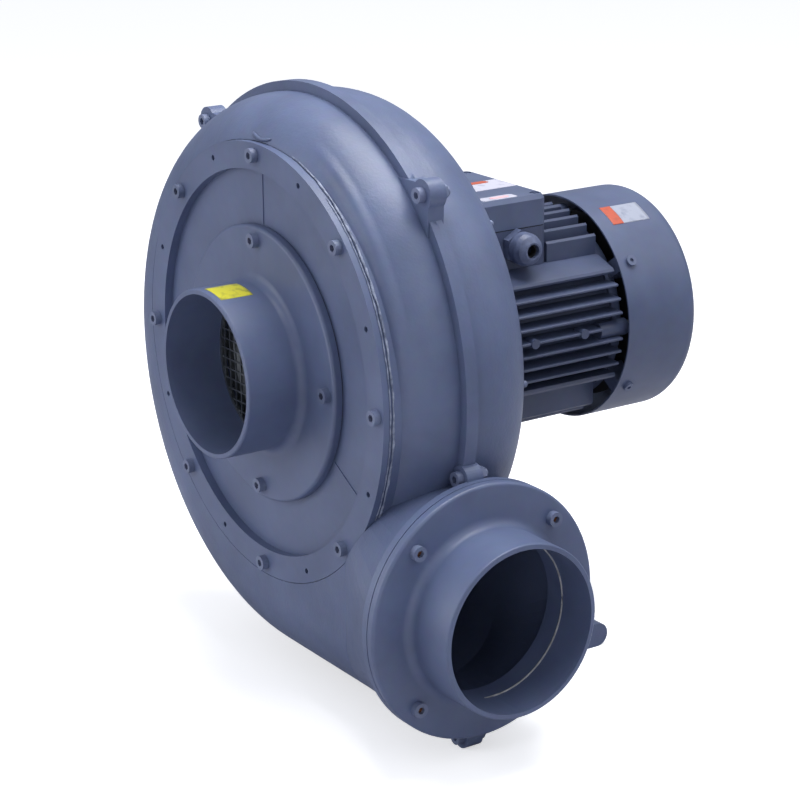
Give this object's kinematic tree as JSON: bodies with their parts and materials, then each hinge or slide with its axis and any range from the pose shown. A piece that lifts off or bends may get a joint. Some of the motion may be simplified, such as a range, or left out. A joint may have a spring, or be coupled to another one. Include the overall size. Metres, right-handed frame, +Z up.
{
  "type": "centrifugal fan",
  "caption": "Centrifugal blower with a cast volute casing, round inlet and outlet spigots, a closed impeller and a finned flange motor on a foot bracket.",
  "frame": {"origin": "on the floor, in the middle of the four foot holes", "axes": "+Z up, -Y out of the inlet along the shaft, +X out of the outlet"},
  "size_m": [0.5823, 0.47, 0.542],
  "materials": {
    "casing_paint": "satin blue-grey paint on a sand casting",
    "motor_paint": "darker satin blue-grey paint",
    "painted_fasteners": "paint worn at the sockets",
    "gasket_sheet": "matt fibre and rubber sheet",
    "galvanised_steel": "galvanised",
    "cast_aluminium": "as cast and turned",
    "zinc_steel": "zinc plated",
    "machined_steel": "ground",
    "bearing_steel": "polished",
    "black_rubber": "matt",
    "black_plastic": "moulded",
    "laminated_steel": "stacked sheets",
    "enamelled_copper": "varnished wire",
    "terminal_brass": "turned"
  },
  "bodies": {
    "housing": {"front_casing": "casing_paint", "rear_casing": "casing_paint", "casing_bolts": "painted_fasteners", "casing_nuts": "painted_fasteners", "front_cover": "casing_paint", "cover_gasket": "gasket_sheet", "cover_bolts": "painted_fasteners", "inlet_flange": "casing_paint", "inlet_gasket": "gasket_sheet", "inlet_bolts": "painted_fasteners", "inlet_guard": "galvanised_steel", "inlet_cone": "galvanised_steel", "outlet_flange": "casing_paint", "outlet_gasket": "gasket_sheet", "outlet_bolts": "painted_fasteners", "shaft_seal": "black_rubber", "drive_end_shield": "motor_paint", "motor_flange_bolts": "zinc_steel", "drive_bearing_outer": "bearing_steel", "drive_bearing_balls": "bearing_steel", "rear_bearing_outer": "bearing_steel", "rear_bearing_balls": "bearing_steel", "motor_frame": "motor_paint", "stator_core": "laminated_steel", "stator_windings": "enamelled_copper", "rear_end_shield": "motor_paint", "end_shield_screws": "zinc_steel", "fan_cowl": "motor_paint", "cowl_screws": "zinc_steel", "terminal_box_base": "motor_paint", "terminal_box_gasket": "gasket_sheet", "terminal_box_cover": "motor_paint", "box_cover_screws": "zinc_steel", "terminal_board": "black_plastic", "terminal_studs": "terminal_brass", "gland_body": "black_plastic", "gland_seal": "black_rubber", "gland_nut": "black_plastic", "support_foot": "casing_paint", "foot_bolts": "painted_fasteners"},
    "rotor": {"impeller_hub": "cast_aluminium", "impeller_backplate": "cast_aluminium", "impeller_blades": "cast_aluminium", "impeller_shroud": "cast_aluminium", "impeller_rivets": "zinc_steel", "impeller_washer": "zinc_steel", "impeller_bolt": "zinc_steel", "shaft_key": "machined_steel", "motor_shaft": "machined_steel", "drive_bearing_inner": "bearing_steel", "rear_bearing_inner": "bearing_steel", "rotor_core": "laminated_steel", "cooling_fan": "black_plastic", "fan_clip": "zinc_steel"}
  },
  "joints": [
    {"name": "rotor_spin", "type": "hinge", "parent": "housing", "child": "rotor", "pos_m": [0, -0.053, 0.302], "axis": [0, 1, 0], "continuous": true}
  ]
}
